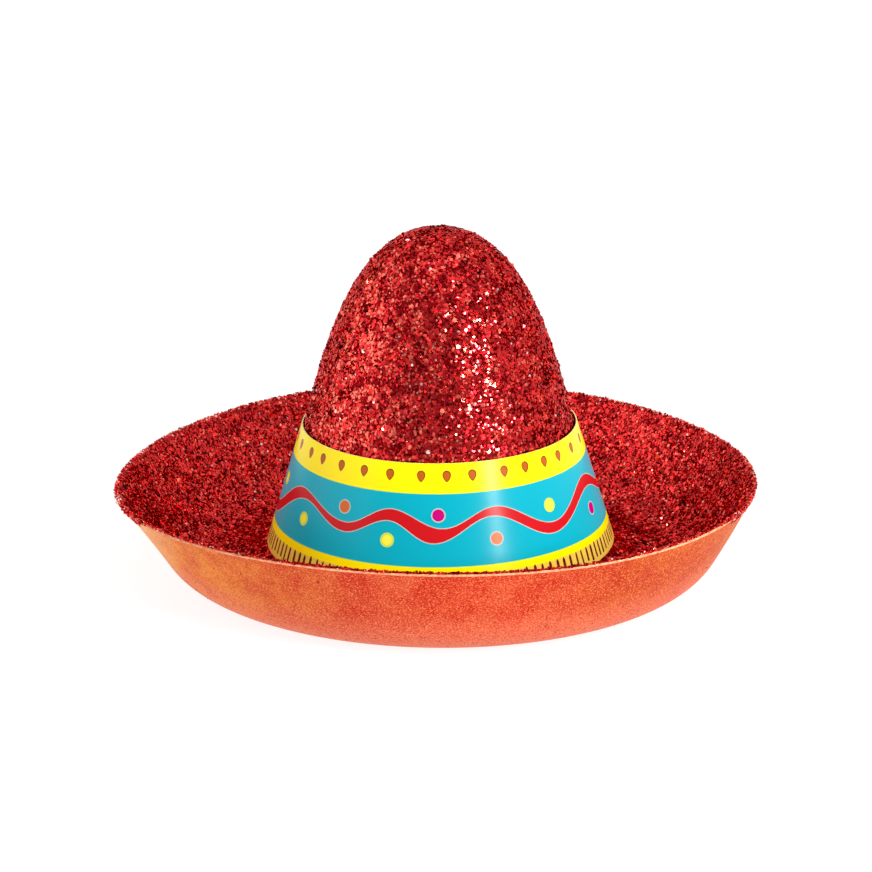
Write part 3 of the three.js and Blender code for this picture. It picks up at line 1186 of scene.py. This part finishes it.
def soft_box(name, azimuth, elevation, distance, width, height, power):
    data = bpy.data.lights.new(name, "AREA")
    data.shape = "RECTANGLE"
    data.size = width
    data.size_y = height
    data.energy = power
    lamp = bpy.data.objects.new(name, data)
    away = direction(azimuth, elevation)
    lamp.location = AIM + away * distance
    lamp.rotation_euler = (-away).to_track_quat("-Z", "Y").to_euler()
    bpy.context.scene.collection.objects.link(lamp)


def make_world():
    """A bright studio wall behind the hat and a dimmer room in front of it."""
    world = bpy.data.worlds.new("studio")
    bpy.context.scene.world = world
    world.use_nodes = True
    tree = world.node_tree
    way = tree.nodes.new("ShaderNodeTexCoord")
    split = tree.nodes.new("ShaderNodeSeparateXYZ")
    fade = tree.nodes.new("ShaderNodeMapRange")
    fade.interpolation_type = "SMOOTHSTEP"
    fade.inputs["From Min"].default_value = -WALL_FADE
    fade.inputs["From Max"].default_value = WALL_FADE
    fade.inputs["To Min"].default_value = ROOM_LIGHT
    fade.inputs["To Max"].default_value = WALL_LIGHT
    tree.links.new(way.outputs["Generated"], split.inputs[0])
    tree.links.new(split.outputs["Y"], fade.inputs["Value"])
    seen = tree.nodes.new("ShaderNodeLightPath")
    white = tree.nodes.new("ShaderNodeMath")
    white.operation = "MAXIMUM"  # the wall itself is white wherever it is looked at
    tree.links.new(fade.outputs[0], white.inputs[0])
    tree.links.new(seen.outputs["Is Camera Ray"], white.inputs[1])
    tree.links.new(white.outputs[0], tree.nodes["Background"].inputs["Strength"])
    tree.nodes["Background"].inputs["Color"].default_value = (1, 1, 1, 1)


def make_stage():
    look = Look("floor").set(
        Base_Color=(0.2, 0.2, 0.2, 1),
        Roughness=0.9,
        Specular_IOR_Level=0.0,
        Emission_Color=(1, 1, 1, 1),
        Emission_Strength=FLOOR_GLOW,
    )
    mesh = bpy.data.meshes.new("floor")
    corners = [(x * FLOOR_REACH, y * FLOOR_REACH, 0) for x, y in ((-1, -1), (1, -1), (1, 1), (-1, 1))]
    mesh.from_pydata(corners, [], [(0, 1, 2, 3)])
    mesh.materials.append(look.material)
    floor = bpy.data.objects.new("floor", mesh)
    bpy.context.scene.collection.objects.link(floor)
    make_world()
    for lamp in LAMPS:
        soft_box(*lamp)
    bpy.context.scene.view_settings.view_transform = "Standard"


make_camera()
make_stage()
make_shell()
make_crown_bed()
make_brim_bed()
make_glitter()
make_band()
dress_glue_dabs()
